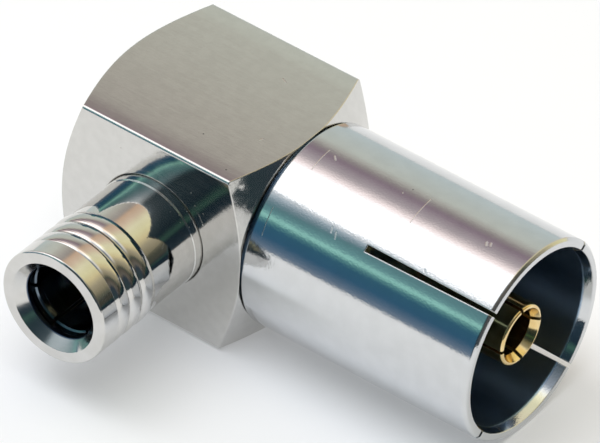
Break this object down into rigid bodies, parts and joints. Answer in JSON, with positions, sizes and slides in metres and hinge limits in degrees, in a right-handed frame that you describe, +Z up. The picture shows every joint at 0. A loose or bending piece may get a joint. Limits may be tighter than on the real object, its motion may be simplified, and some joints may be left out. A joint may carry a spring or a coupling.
{
  "type": "right-angle coaxial adapter, snap-fit plug to slotted 9.5 mm class socket",
  "caption": "Right-angle metal coaxial adapter: a square bar block carries a small snap-fit barrel and, at 90 degrees, a large slotted sleeve round a gold centre socket.",
  "frame": {"origin": "On the block's rest face, under the point where the sleeve's axis and the barrel's axis cross.", "axes": "+X along the sleeve's axis toward its mouth, -Y along the snap-fit barrel's axis toward its tip, +Z up from the block's rest face."},
  "size_m": [0.0239, 0.0179, 0.0106],
  "materials": {
    "block_nickel": "nickel plate over brass, satin with fine drawn grain",
    "sleeve_nickel": "nickel plate over turned brass, bright with light handling scratches",
    "barrel_nickel": "nickel plate over turned brass, bright",
    "collet_nickel": "nickel plate over spring copper alloy",
    "contact_gold": "bright gold plate over spring copper alloy",
    "bead_plastic": "waxy white fluoroplastic",
    "solder": "bright tin alloy fillet"
  },
  "bodies": {
    "root": {"body_block": "block_nickel", "outer_sleeve": "sleeve_nickel", "sleeve_bead": "bead_plastic", "socket_contact": "contact_gold", "rear_cap": "block_nickel", "cap_disc": "bead_plastic", "snap_barrel": "barrel_nickel", "spring_collet": "collet_nickel", "snap_bead": "bead_plastic", "snap_contact": "contact_gold", "solder_joint": "solder"}
  },
  "joints": []
}
